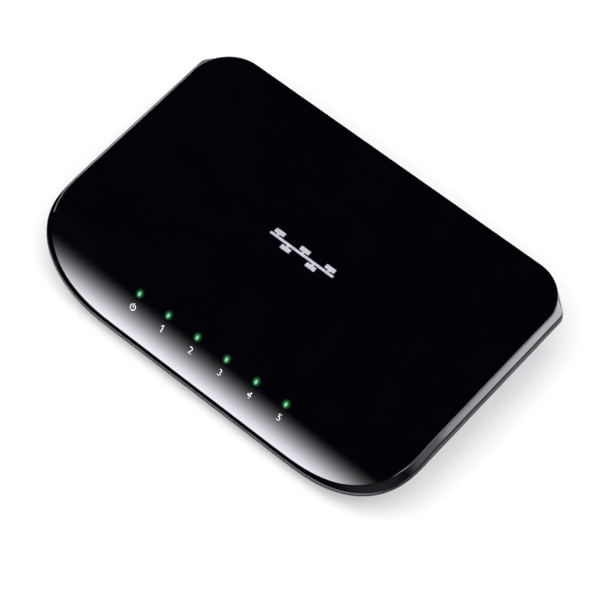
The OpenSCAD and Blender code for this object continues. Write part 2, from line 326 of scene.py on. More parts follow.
def tray_material():
    """Black moulding with a fine spark-eroded grain."""
    mat, nodes, links, bsdf = new_material("tray_plastic")
    cloud = object_noise(nodes, links, 120)
    vary(nodes, links, bsdf, cloud, "Base Color", (0.010, 0.010, 0.012), (0.015, 0.015, 0.017))
    vary(nodes, links, bsdf, cloud, "Roughness", 0.5, 0.6)
    bsdf.inputs["Specular IOR Level"].default_value = 0.3
    grain = object_noise(nodes, links, 3200, detail=3.0)
    bump(nodes, links, bsdf, grain.outputs["Fac"], 0.6, 0.00002)
    return mat


def board_material():
    """Green solder mask over copper traces."""
    mat, nodes, links, bsdf = new_material("board_laminate")
    coord = nodes.new("ShaderNodeTexCoord")
    traces = nodes.new("ShaderNodeTexBrick")
    traces.offset = 0.37
    traces.inputs["Scale"].default_value = 260
    traces.inputs["Mortar Size"].default_value = 0.09
    traces.inputs["Color1"].default_value = (0.010, 0.085, 0.030, 1)
    traces.inputs["Color2"].default_value = (0.013, 0.105, 0.036, 1)
    traces.inputs["Mortar"].default_value = (0.035, 0.200, 0.060, 1)
    links.new(coord.outputs["Object"], traces.inputs["Vector"])
    cloud = object_noise(nodes, links, 300)
    mix = nodes.new("ShaderNodeMix")
    mix.data_type = "RGBA"
    mix.blend_type = "MULTIPLY"
    mix.inputs[0].default_value = 0.5
    links.new(traces.outputs["Color"], mix.inputs[6])
    links.new(cloud.outputs["Color"], mix.inputs[7])
    links.new(mix.outputs[2], bsdf.inputs["Base Color"])
    vary(nodes, links, bsdf, cloud, "Roughness", 0.22, 0.34)
    bump(nodes, links, bsdf, traces.outputs["Fac"], 0.5, 0.00004)
    return mat


def brushed_material(name, colour, roughness, along, scale=1800):
    """Metal with fine drawing marks along one axis."""
    stretch = tuple(0.03 if axis == along else 1 for axis in "xyz")
    dark = tuple(0.82 * c for c in colour)
    return mottled(name, (dark, colour), roughness, scale, metallic=1.0, relief=0.000004,
                   relief_scale=scale, stretch=stretch)


def lamp_material(first_x, pitch, row_y, radius):
    """Clear pipe, lit green from below: a bright core just in front of each pin's middle, and a dim glow."""
    mat, nodes, links, bsdf = new_material("pipe_clear")
    coord = nodes.new("ShaderNodeTexCoord")
    split = nodes.new("ShaderNodeSeparateXYZ")
    links.new(coord.outputs["Object"], split.inputs[0])
    math_node = math_maker(nodes, links)

    def spread(core_y, stretch_y):
        shifted = math_node("SUBTRACT", split.outputs["X"], first_x - pitch / 2)
        wrapped = math_node("SUBTRACT", math_node("FLOORED_MODULO", shifted, pitch), pitch / 2)
        across = math_node("POWER", math_node("DIVIDE", wrapped, radius), 2.0)
        along = math_node("DIVIDE", math_node("SUBTRACT", split.outputs["Y"], core_y), radius * stretch_y)
        return math_node("SQRT", math_node("ADD", across, math_node("POWER", along, 2.0)))

    glow = ramp(nodes, links, spread(row_y, 0.86), [
        (0.0, (0.020, 0.150, 0.060)), (0.45, (0.012, 0.105, 0.040)),
        (0.8, (0.003, 0.038, 0.014)), (1.0, (0.0, 0.0, 0.0))])
    core = ramp(nodes, links, spread(row_y - 0.1 * radius, 1.25), [
        (0.0, (0.300, 0.780, 0.400)), (0.16, (0.260, 0.700, 0.350)),
        (0.36, (0.040, 0.180, 0.070)), (0.5, (0.0, 0.0, 0.0))])
    total = nodes.new("ShaderNodeMix")
    total.data_type = "RGBA"
    total.blend_type = "ADD"
    total.inputs[0].default_value = 1.0
    links.new(glow.outputs["Color"], total.inputs[6])
    links.new(core.outputs["Color"], total.inputs[7])
    links.new(total.outputs[2], bsdf.inputs["Emission Color"])
    bsdf.inputs["Emission Strength"].default_value = 1.0
    cloud = object_noise(nodes, links, 900)
    vary(nodes, links, bsdf, cloud, "Base Color", (0.002, 0.006, 0.004), (0.003, 0.009, 0.006))
    vary(nodes, links, bsdf, cloud, "Roughness", 0.12, 0.2)
    bsdf.inputs["Specular IOR Level"].default_value = 0.0
    return mat


LED_LO, LED_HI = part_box("led_power")
LED_NEXT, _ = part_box("led_1")
LED_X0 = (LED_LO.x + LED_HI.x) / 2
LED_Y = (LED_LO.y + LED_HI.y) / 2
LED_PITCH = LED_NEXT.x - LED_LO.x
PIPE_R = 1.7 * MM
LAMPS = 6

GREY = [(v, v, v * 1.04) for v in (0.02, 0.028, 0.035, 0.045)]
MATERIALS = {
    "cover_gloss": cover_material(),
    "tray_plastic": tray_material(),
    "board_laminate": board_material(),
    "pipe_clear": lamp_material(LED_X0, LED_PITCH, LED_Y, PIPE_R),
    "foot_rubber": mottled("foot_rubber", ((0.012, 0.012, 0.012), (0.022, 0.022, 0.022)), (0.75, 0.92), 700,
                           relief=0.00003, relief_scale=2600),
    "label_film": mottled("label_film", ((0.52, 0.53, 0.55), (0.60, 0.60, 0.61)), (0.38, 0.5), 300,
                          relief=0.000006, relief_scale=1500),
    "jack_plastic": mottled("jack_plastic", ((0.009, 0.009, 0.010), (0.014, 0.014, 0.015)), (0.3, 0.42), 500,
                            relief=0.000008, relief_scale=2400),
    "contact_gold": brushed_material("contact_gold", (0.94, 0.68, 0.30), (0.16, 0.30), "y"),
    "tin": brushed_material("tin", (0.66, 0.66, 0.65), (0.26, 0.42), "y"),
    "screw_steel": brushed_material("screw_steel", (0.50, 0.50, 0.52), (0.24, 0.40), "x"),
    "crystal_can": brushed_material("crystal_can", (0.70, 0.70, 0.70), (0.18, 0.30), "x"),
    "sink_aluminium": brushed_material("sink_aluminium", (0.75, 0.76, 0.78), (0.28, 0.42), "y"),
    "led_body": mottled("led_body", ((0.55, 0.60, 0.52), (0.66, 0.70, 0.60)), (0.25, 0.4), 2500),
    "chip_epoxy": mottled("chip_epoxy", (GREY[0], GREY[1]), (0.5, 0.66), 900,
                          relief=0.00001, relief_scale=5000),
    "pad_silicone": mottled("pad_silicone", ((0.30, 0.31, 0.34), (0.38, 0.39, 0.42)), (0.6, 0.75), 1400,
                            relief=0.00002, relief_scale=2600),
    "ferrite": mottled("ferrite", (GREY[2], GREY[3]), (0.6, 0.8), 1100, relief=0.00002, relief_scale=3800),
    "sleeve_vinyl": mottled("sleeve_vinyl", ((0.010, 0.014, 0.050), (0.014, 0.020, 0.065)), (0.25, 0.36), 350,
                            relief=0.000006, relief_scale=1200),
    "resistor_ceramic": mottled("resistor_ceramic", (GREY[0], GREY[2]), (0.35, 0.5), 2200),
    "capacitor_ceramic": mottled("capacitor_ceramic", ((0.24, 0.16, 0.08), (0.34, 0.24, 0.12)), (0.4, 0.55),
                                 2200),
    "white_ink": mottled("white_ink", ((0.80, 0.80, 0.84), (0.88, 0.88, 0.91)), (0.45, 0.6), 1600),
    "silver_ink": mottled("silver_ink", ((0.31, 0.30, 0.34), (0.37, 0.36, 0.41)), (0.42, 0.6), 1200),
    "grey_ink": mottled("grey_ink", ((0.16, 0.16, 0.17), (0.22, 0.22, 0.23)), (0.5, 0.65), 1500),
}


def dress(piece, material, body="case", replaces=()):
    piece.data.materials.clear()
    piece.data.materials.append(MATERIALS[material])
    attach(piece, body)
    if replaces:
        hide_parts(*replaces)
    return piece


# ---------------------------------------------------------------- case outline and sections

STRAIGHT = math.radians(88)


def spread_between(a, b, steps):
    return [a + (b - a) * i / steps for i in range(steps)]


def outline(half, front, rear, rear_r, inset=0.0, ease=0.0):
    """Closed plan outline. Points with the same index on two outlines have the same outward direction."""
    half, front, rear = half - inset, front + inset, rear - inset
    cx, cy, r = CORNER_X + ease - inset, CORNER_Y + ease - inset, max(rear_r - inset, MM)
    right = [Vector((x, front)) for x in spread_between(0.0, half - cx, 10)]
    for i in range(27):
        t = math.pi / 2 * i / 26
        right.append(Vector((
            half - cx + cx * math.sin(t) ** (2 / CORNER_N),
            front + cy - cy * max(0.0, math.cos(t)) ** (2 / CORNER_N))))
    right += [Vector((half, y)) for y in spread_between(front + cy, rear - r, 14)[1:]]
    for i in range(23):
        t = math.pi / 2 * i / 22
        right.append(Vector((half - r + r * math.cos(t), rear - r + r * math.sin(t))))
    right += [Vector((x, rear)) for x in spread_between(half - r, 0.0, 10)[1:]]
    rear_middle = Vector((0.0, rear))
    left = [Vector((-p.x, p.y)) for p in reversed(right[1:])]
    return right + [rear_middle] + left


def rounded(points, radii, steps=6):
    """The open polyline with its inner corners turned into arcs, whose ends get a close second point."""
    made = [points[0]]
    for before, corner, after, radius in zip(points, points[1:], points[2:], radii):
        back, on = before - corner, after - corner
        reach = min(radius, 0.45 * back.length, 0.45 * on.length)
        if reach < 1e-7:
            made += [corner.copy() for _ in range(steps + 3)]
            continue
        back.normalize()
        on.normalize()
        made.append(corner + back * 1.15 * reach)
        half = back.angle(on) / 2
        if half > STRAIGHT:
            made += [corner + (back.lerp(on, k / steps)) * reach for k in range(steps + 1)]
        else:
            centre = corner + (back + on).normalized() * (reach / math.cos(half))
            start, end = corner + back * reach - centre, corner + on * reach - centre
            made += [centre + start.slerp(end, k / steps) * start.length for k in range(steps + 1)]
        made.append(corner + on * 1.15 * reach)
    made.append(points[-1])
    return made


def at(p, z):
    return Vector((p.x, p.y, z))


# Fractions of the way from the middle of the case to the edge, for rings on the top and the floors
TOP_STEPS = [0.08] + [0.08 + 0.90 * i / 44 for i in range(1, 45)]
FLAT_STEPS = [0.1, 0.5, 0.94]


# Screw posts and bosses, the holes for screws, and how high the cuts in the tray's floor reach
POST_R, POST_LIFT, POST_BORE_R, POST_BORE_TOP = 3.25 * MM, 1.7 * MM, 1.2 * MM, 15.5 * MM
BOSS_R, BOSS_H, STANDOFF_R = 4.5 * MM, 1.5 * MM, 2.75 * MM
SINK_R, SINK_H, CASE_BORE_R = 3.1 * MM, 1.9 * MM, 1.5 * MM
CUT_TOP = 10 * MM

FEET = ["foot_front_left", "foot_front_right", "foot_rear_left", "foot_rear_right"]
JACKS = [f"port_{i}_jack" for i in range(1, 6)]
JACK_H = 11.5 * MM
KEYHOLE_X, KEYHOLE_R, KEYHOLE_SLOT_R, KEYHOLE_RUN = 42 * MM, 4 * MM, 2 * MM, 8 * MM
VENT_PITCH = 4.4 * MM
SCREW_LO, SCREW_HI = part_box("case_screws")
SCREW_HEAD_R = 2.8 * MM
CASE_SCREWS = [(side * (SCREW_HI.x - SCREW_HEAD_R), y)
               for side in (-1, 1) for y in (SCREW_LO.y + SCREW_HEAD_R, SCREW_HI.y - SCREW_HEAD_R)]
BOLT_LO, BOLT_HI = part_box("board_screws")
BOLT_HEAD_R = 2.2 * MM
BOARD_SCREWS = [(side * (BOLT_HI.x - BOLT_HEAD_R), y)
                for side in (-1, 1) for y in (BOLT_LO.y + BOLT_HEAD_R, BOLT_HI.y - BOLT_HEAD_R)]


def spine(p, y):
    """The point of a line along the middle that the rings shrink towards."""
    return Vector((0.62 * p.x, y))


def make_cover():
    top = outline(TOP_HALF, TOP_FRONT_Y, REAR_Y, TOP_REAR_R, ease=TOP_EASE)
    low = outline(COVER_HALF, COVER_FRONT_Y, PORT_Y, LOW_REAR_R)
    top_in = outline(TOP_HALF, TOP_FRONT_Y, REAR_Y, TOP_REAR_R, WALL, TOP_EASE)
    low_in = outline(COVER_HALF, COVER_FRONT_Y, PORT_Y, LOW_REAR_R, WALL)
    sections = []
    for a, b, a_in, b_in in zip(top, low, top_in, low_in):
        middle = spine(a, 6 * MM)
        crown = [at(p, top_z(p.y)) for p in (middle.lerp(a, t) for t in TOP_STEPS)]
        edge_in = b_in.lerp(a_in, 0.2)
        roof = [middle.lerp(edge_in, t) for t in reversed(FLAT_STEPS)]
        corner = [crown[-1], at(a, top_z(a.y)), at(a, top_z(a.y, EDGE_T)), at(b, seam_z(b.y)),
                  at(b_in, seam_z(b_in.y)), at(edge_in, top_z(edge_in.y, WALL)),
                  at(roof[0], top_z(roof[0].y, WALL))]
        bend = rounded(corner, [0.3 * MM, 0.3 * MM, 0.15 * MM, 0.1 * MM, 0.1 * MM], 4)
        sections.append(crown[:-1] + bend + [at(p, top_z(p.y, WALL)) for p in roof[1:]])
    rings = [list(ring) for ring in zip(*sections)]
    cover = add_piece("cover_shell", loft("cover_shell", rings))
    posts, holes = [], []
    post_floor, post_top, ease = FLOOR_TOP_Z + POST_LIFT, TOP_Z - WALL + 0.5 * MM, 0.2 * MM
    for x, y in CASE_SCREWS:
        post = lathe("post", [(0, post_floor), (POST_R - ease, post_floor), (POST_R, post_floor + ease),
                              (POST_R, post_top), (0, post_top)])
        posts.append(moved(post, (x, y, 0)))
        holes.append(moved(cylinder(POST_BORE_R, 0, POST_BORE_TOP, 32), (x, y, 0)))
    for i in range(LAMPS):
        hole = cylinder(PIPE_R + 0.12 * MM, 8 * MM, 40 * MM)
        holes.append(moved(hole, (LED_X0 + i * LED_PITCH, LED_Y, 0)))
    for name in JACKS + ["dc_jack_body"]:
        lo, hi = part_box(name)
        posts.append(block((lo.x, hi.x), (PORT_Y - TAB_PLAY - TAB_T, PORT_Y - TAB_PLAY),
                           (BOARD_HI.z + JACK_H + TAB_PLAY, TOP_Z - WALL + 0.3 * MM), 0.15 * MM))
    combine(cover, posts, "UNION")
    combine(cover, holes)
    shade(cover.data)
    smooth_top(cover.data)
    return dress(cover, "cover_gloss", replaces=["top_cover"])


def smooth_top(mesh):
    """Gives the faces of the top the nose arc's own normals, so that reflections run true up to the holes."""
    normals = [Vector(n.vector) for n in mesh.corner_normals]
    for face in mesh.polygons:
        for index in face.loop_indices:
            p = mesh.vertices[mesh.loops[index].vertex_index].co
            tilt = math.asin(max(0.0, min(1.0, (NOSE_Y - p.y) / NOSE_R)))
            true = Vector((0, -math.sin(tilt), math.cos(tilt)))
            if abs(p.z - top_z(p.y)) < 2e-5 and face.normal.dot(true) > 0.985:
                normals[index] = true
    mesh.normals_split_custom_set(normals)


def make_tray():
    rim = outline(TRAY_HALF, FRONT_Y, PORT_Y, LOW_REAR_R)
    base = outline(BASE_HALF, BASE_FRONT_Y, PORT_Y, LOW_REAR_R)
    rim_top = outline(TRAY_HALF, FRONT_Y, PORT_Y, LOW_REAR_R, 0.15 * MM)
    groove = outline(TRAY_HALF, FRONT_Y, PORT_Y, LOW_REAR_R, GROOVE_IN)
    lip_out = outline(TRAY_HALF, FRONT_Y, PORT_Y, INNER_REAR_R, LIP_OUT)
    rim_in = outline(TRAY_HALF, FRONT_Y, PORT_Y, INNER_REAR_R, RIM_T)
    base_in = outline(BASE_HALF, BASE_FRONT_Y, PORT_Y, INNER_REAR_R, RIM_T)
    sections = []
    for a, b, top, dip, lip, a_in, b_in in zip(rim, base, rim_top, groove, lip_out, rim_in, base_in):
        middle = spine(b, 2 * MM)
        under = [at(middle.lerp(b, t), BASE_Z) for t in FLAT_STEPS]
        floor = [at(middle.lerp(b_in, t), FLOOR_TOP_Z) for t in reversed(FLAT_STEPS)]
        corner = [
            under[-1], at(b, BASE_Z), at(a, rim_z(a.y)), at(top, seam_z(top.y) - SEAM_GAP - 0.1 * MM),
            at(dip, max(rim_z(dip.y) + 0.5 * MM, seam_z(dip.y) - SEAM_GAP - GROOVE_H)),
            at(lip, seam_z(lip.y) - SEAM_GAP), at(lip, seam_z(lip.y) + LIP_H),
            at(a_in, seam_z(a_in.y) + LIP_H), at(a_in, rim_z(a_in.y) + WALL),
            at(b_in, FLOOR_TOP_Z), floor[0]]
        bend = rounded(corner, [r * MM for r in (1.2, 0.4, 0.1, 0.2, 0.1, 0.1, 0.1, 1.0, 1.0)])
        sections.append(under[:-1] + bend + floor[1:])
    rings = [list(ring) for ring in zip(*sections)]
    tray = add_piece("tray_shell", loft("tray_shell", rings))
    bosses = []
    root, boss_top, ease = BASE_Z + 0.5 * MM, FLOOR_TOP_Z + BOSS_H, 0.2 * MM
    for x, y in CASE_SCREWS:
        boss = lathe("boss", [(0, root), (BOSS_R, root), (BOSS_R, boss_top - ease), (BOSS_R - ease, boss_top),
                              (0, boss_top)])
        bosses.append(moved(boss, (x, y, 0)))
    for x, y in BOARD_SCREWS:
        bosses.append(moved(cylinder(STANDOFF_R, root, BOARD_LO.z), (x, y, 0)))
    combine(tray, bosses, "UNION")
    combine(tray, tray_cuts())
    shade(tray.data)
    return dress(tray, "tray_plastic", replaces=["bottom_tray"])


def span(centre, half):
    return centre - half, centre + half


def block(x, y, z, bevel=0.0):
    """Box mesh from its (low, high) spans."""
    return box_mesh("block", (x[0], y[0], z[0]), (x[1], y[1], z[1]), bevel)


def tray_cuts():
    cuts = []
    below, through, ease, play = BASE_Z - MM, 4.5 * MM, 0.2 * MM, 0.2 * MM
    for x, y in CASE_SCREWS:
        cuts.append(moved(lathe("sink", [(0, below), (SINK_R + ease, below), (SINK_R, BASE_Z + ease),
                                         (SINK_R, BASE_Z + SINK_H), (CASE_BORE_R, BASE_Z + SINK_H),
                                         (CASE_BORE_R, CUT_TOP), (0, CUT_TOP)]), (x, y, 0)))
    for x, y in BOARD_SCREWS:
        cuts.append(moved(cylinder(MM, BASE_Z + 1.2 * MM, CUT_TOP, 24), (x, y, 0)))
    for name in FEET:
        lo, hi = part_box(name)
        seat = (hi.x - lo.x) / 2 + 0.15 * MM
        cuts.append(moved(cylinder(seat, below, hi.z), ((lo.x + hi.x) / 2, (lo.y + hi.y) / 2, 0)))
    for name in JACKS + ["dc_jack_body"]:
        lo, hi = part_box(name)
        cuts.append(block((lo.x - play, hi.x + play), (PORT_Y - 8 * MM, PORT_Y + 4 * MM),
                          (lo.z - 2 * play, 36 * MM)))
    for side in (-1, 1):
        x = side * KEYHOLE_X
        cuts += [moved(cylinder(KEYHOLE_R, below, through), (x, 0, 0)),
                 moved(cylinder(KEYHOLE_SLOT_R, below, through), (x, KEYHOLE_RUN, 0)),
                 block(span(x, KEYHOLE_SLOT_R), (0, KEYHOLE_RUN), (below, through))]
    for i in range(-6, 7):
        cuts.append(block(span(i * VENT_PITCH, MM), span(24 * MM, 8 * MM), (below, through), 0.9 * MM))
    lo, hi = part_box("rating_label")
    cuts.append(block((lo.x - MM, hi.x + MM), (lo.y - MM, hi.y + MM), (below, BASE_Z + 0.3 * MM)))
    return cuts


# ---------------------------------------------------------------- lamps, legends and mark

NOSE_CENTRE_Z = TOP_Z - NOSE_R


def on_nose(x, along, lift):
    """Point on the top: along is the length on the surface towards the front from where the nose starts."""
    if along <= 0:
        return Vector((x, NOSE_Y - along, TOP_Z + lift))
    tilt = along / NOSE_R
    r = NOSE_R + lift
    return Vector((x, NOSE_Y - r * math.sin(tilt), NOSE_CENTRE_Z + r * math.cos(tilt)))


def along_of(y):
    return NOSE_R * math.asin((NOSE_Y - y) / NOSE_R) if y < NOSE_Y else NOSE_Y - y


def make_light_pipe():
    lo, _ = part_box("light_pipe")
    bar_lo, bar_hi = 13 * MM, 14.6 * MM
    rings_up = 10
    pins = []
    for i in range(LAMPS):
        cx = LED_X0 + i * LED_PITCH
        turns = [2 * math.pi * k / 48 for k in range(48)]

        def ring(r, height):
            return [Vector((cx + r * math.cos(a), LED_Y + r * math.sin(a),
                            height(LED_Y + r * math.sin(a)))) for a in turns]

        rings = [ring(0.05 * MM, lambda y: 9.5 * MM), ring(PIPE_R - 0.1 * MM, lambda y: 9.5 * MM),
                 ring(PIPE_R, lambda y: 9.6 * MM), ring(PIPE_R, lambda y: top_z(y, 0.35 * MM)),
                 ring(PIPE_R, lambda y: top_z(y, 0.2 * MM))]
        for k in range(rings_up):
            share = 1 - k / rings_up
            dome = 0.12 * share ** 6 * MM
            rings.append(ring(share * (PIPE_R - 0.04 * MM), lambda y, d=dome: top_z(y, 0.06 * MM) - d))
        pins.append(loft("pin", rings))
    middle = LED_X0 + 2.5 * LED_PITCH
    reach = 2.5 * LED_PITCH + 5 * MM
    bar = block(span(middle, reach), span(LED_Y, MM), (bar_lo, bar_hi), 0.25 * MM)
    legs = [block(span(middle + s * (reach - MM), MM), span(LED_Y, MM), (lo.z, bar_lo + 0.4 * MM), 0.2 * MM)
            for s in (-1, 1)]
    pipe = add_piece("light_pipe_moulding", joined("light_pipe_moulding", [pins[0]]))
    combine(pipe, pins[1:] + [bar] + legs, "UNION")
    shade(pipe.data, 40)
    return dress(pipe, "pipe_clear", replaces=["light_pipe"])


def printed(name, flat, x, along, material, thickness=0.02 * MM):
    """Ink on the top: flat is a mesh drawn in XY, laid on the surface with its origin at (x, along)."""
    mesh = flat.copy()
    bm = bmesh.new()
    bm.from_mesh(mesh)
    bmesh.ops.remove_doubles(bm, verts=bm.verts, dist=1e-7)
    bmesh.ops.triangulate(bm, faces=bm.faces)
    for _ in range(2):
        long_edges = [e for e in bm.edges if e.calc_length() > 0.8 * MM]
        bmesh.ops.subdivide_edges(bm, edges=long_edges, cuts=1)
        bmesh.ops.triangulate(bm, faces=bm.faces)
    made = bmesh.ops.extrude_face_region(bm, geom=bm.faces[:])
    raised = {v for v in made["geom"] if isinstance(v, bmesh.types.BMVert)}
    for v in bm.verts:
        v.co = on_nose(x + v.co.x, along - v.co.y, thickness if v in raised else 0.002 * MM)
    bmesh.ops.recalc_face_normals(bm, faces=bm.faces)
    bm.to_mesh(mesh)
    bm.free()
    mesh.name = name
    piece = add_piece(name, mesh)
    return dress(piece, material)


def polygon_mesh(loops):
    """Flat mesh from closed loops of (x, y), each filled on its own."""
    verts, faces = [], []
    for loop in loops:
        faces.append(tuple(range(len(verts), len(verts) + len(loop))))
        verts += [Vector((x, y, 0)) for x, y in loop]
    return mesh_of("flat", verts, faces)


def stroke(path, width):
    """Quads of a line of that width along path, with round ends."""
    left, right = [], []
    for i, p in enumerate(path):
        ahead = (path[min(i + 1, len(path) - 1)] - path[max(i - 1, 0)]).normalized()
        side = Vector((-ahead.y, ahead.x)) * width / 2
        left.append(p + side)
        right.append(p - side)
    quads = [[tuple(left[i]), tuple(right[i]), tuple(right[i + 1]), tuple(left[i + 1])]
             for i in range(len(path) - 1)]
    for end, before in ((path[0], path[1]), (path[-1], path[-2])):
        start = math.atan2(end.y - before.y, end.x - before.x) - math.pi / 2
        turns = [start + math.pi * k / 8 for k in range(9)]
        quads.append([(end.x + width / 2 * math.cos(a), end.y + width / 2 * math.sin(a)) for a in turns])
    return quads


def digit_mesh(text, size):
    """A numeral from the built-in typeface, centred on its own box."""
    curve = bpy.data.curves.new("numeral", "FONT")
    curve.body = text
    curve.size = size
    curve.offset = -0.005 * size
    curve.resolution_u = 4
    holder = add_piece("numeral", curve)
    bpy.context.view_layer.update()
    mesh = bpy.data.meshes.new_from_object(holder.evaluated_get(bpy.context.evaluated_depsgraph_get()))
    bpy.data.objects.remove(holder)
    xs = [v.co.x for v in mesh.vertices]
    ys = [v.co.y for v in mesh.vertices]
    mesh.transform(Matrix.Translation((-(min(xs) + max(xs)) / 2, -(min(ys) + max(ys)) / 2, 0)))
    return mesh


LEGEND_ALONG = along_of(-47.35 * MM)
LEGEND_SHIFT = 0.3 * MM
LEGEND_H = 2.7 * MM


def one_mesh(height):
    """The numeral 1: a stem with a short flag."""
    foot, head, flag = Vector((0.1, -0.5)), Vector((0.1, 0.5)), Vector((-0.16, 0.24))
    stem = stroke([foot * height, head * height], 0.32 * MM)
    return polygon_mesh(stem + stroke([head * height, flag * height], 0.3 * MM))


def make_legends():
    r, width = 0.40 * LEGEND_H, 0.34 * MM
    turns = [math.radians(90 + 32 + (360 - 64) * k / 28) for k in range(29)]
    ring = [Vector((r * math.cos(a), r * math.sin(a) - 0.06 * LEGEND_H)) for a in turns]
    bar = [Vector((0, -0.02 * LEGEND_H)), Vector((0, 0.46 * LEGEND_H))]
    power = polygon_mesh(stroke(ring, width) + stroke(bar, width))
    printed("legend_power", power, LED_X0 + LEGEND_SHIFT, LEGEND_ALONG, "white_ink")
    for i in range(1, 6):
        numeral = digit_mesh(str(i), LEGEND_H / 0.72) if i > 1 else one_mesh(LEGEND_H)
        printed(f"legend_{i}", numeral, LED_X0 + LEGEND_SHIFT + i * LED_PITCH, LEGEND_ALONG, "white_ink")


def make_mark():
    """Generic sign for a wired network: five sockets on one line."""
    length, line, stem, box_w, box_h = 29 * MM, 1.0 * MM, 0.6 * MM, 4.2 * MM, 1.75 * MM
    pitch = length / 5
    flats = []

    def rectangle(x0, y0, x1, y1):
        flats.append([(x0, y0), (x1, y0), (x1, y1), (x0, y1)])

    rectangle(-length / 2, -line / 2, length / 2, line / 2)
    for i in range(5):
        x, side = (i - 2) * pitch, 1 if i % 2 == 0 else -1
        near, far = side * line / 2, side * (line / 2 + stem)
        rectangle(x - line / 2, min(near, far), x + line / 2, max(near, far))
        out = far + side * box_h
        rectangle(x - box_w / 2, min(far, out), x + box_w / 2, max(far, out))
    printed("network_mark", polygon_mesh(flats), 0.0, along_of(3 * MM), "silver_ink")


# ---------------------------------------------------------------- sockets

CONTACT_PITCH = 1.02 * MM
CONTACT_ROOT = Vector((0, PORT_Y - 2.3 * MM, 17.5 * MM))


def make_jack_shell():
    """Modular socket housing about its own middle: x 0, mouth at y 0 facing +Y, board at z 0."""
    lo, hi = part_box("port_1_jack")
    half, depth, height = (hi.x - lo.x) / 2, hi.y - lo.y, hi.z - lo.z
    floor_z, roof_z, cavity = 2.3 * MM, 9.9 * MM, 12.8 * MM
    shell = add_piece("jack", box_mesh("jack", (-half, -depth, 0), (half, 0, height), 0.35 * MM, 3))
    narrow = 5.9 * MM
    cuts = [
        block(span(0, narrow), (-cavity, MM), (floor_z, roof_z)),
        block(span(0, 3.2 * MM), (-cavity, MM), (floor_z - 0.8 * MM, floor_z + MM)),
        block(span(0, 1.8 * MM), (-cavity, MM), (floor_z - 1.5 * MM, floor_z + MM)),
    ]
    wide, outer_y, inner_y = 6.5 * MM, 0.02 * MM, -0.7 * MM
    sill_z, head_z = floor_z - 0.5 * MM, roof_z + 0.6 * MM
    lead_in = [Vector(corner) for corner in (
        (-wide, outer_y, sill_z), (wide, outer_y, sill_z), (wide, outer_y, head_z), (-wide, outer_y, head_z),
        (-narrow, inner_y, floor_z), (narrow, inner_y, floor_z),
        (narrow, inner_y, roof_z), (-narrow, inner_y, roof_z))]
    cuts.append(mesh_of("lead_in", lead_in, [
        (0, 1, 2, 3), (4, 5, 6, 7), (0, 1, 5, 4), (1, 2, 6, 5), (2, 3, 7, 6), (3, 0, 4, 7)]))
    for k in range(8):
        x = (k - 3.5) * CONTACT_PITCH
        cuts.append(block(span(x, 0.32 * MM), (-cavity + MM, -1.6 * MM),
                          (roof_z - 0.3 * MM, roof_z + 0.75 * MM)))
    for side in (-1, 1):
        cuts.append(block(span(side * half, 0.35 * MM), (-depth + 3 * MM, -5 * MM),
                          (1.6 * MM, height - 2.2 * MM)))
    combine(shell, cuts)
    shade(shell.data)
    mesh = shell.data
    bpy.data.objects.remove(shell)
    return mesh


def make_contacts(i):
    """Eight sprung wires of round section: straight from the root, then bent over near the tip."""
    lo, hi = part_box(f"port_{i}_contacts")
    x0 = (lo.x + hi.x) / 2
    slope = math.radians(18)
    wires = []
    for k in range(8):
        x = x0 + (k - 3.5) * CONTACT_PITCH
        path = []
        for step in range(15):
            t = step / 14
            run = 8 * MM * t
            dip = -0.35 * MM * math.sin(math.pi * t) * t
            y = CONTACT_ROOT.y - run * math.cos(slope)
            z = CONTACT_ROOT.z - run * math.sin(slope) + dip + 0.5 * MM * max(0.0, t - 0.85)
            path.append(Vector((x, y, z)))
        wires.append(tube("wire", path, 0.2 * MM))
    comb = add_piece(f"port_{i}_wires", joined(f"port_{i}_wires", wires))
    shade(comb.data, 40)
    return dress(comb, "contact_gold", body=f"port_{i}_springs", replaces=[f"port_{i}_contacts"])


def make_ports():
    shell = make_jack_shell()
    for i in range(1, 6):
        lo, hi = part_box(f"port_{i}_jack")
        mesh = moved(shell, ((lo.x + hi.x) / 2, hi.y, lo.z))
        mesh.name = f"port_{i}_housing"
        piece = add_piece(f"port_{i}_housing", mesh)
        dress(piece, "jack_plastic", replaces=[f"port_{i}_jack"])
        make_contacts(i)


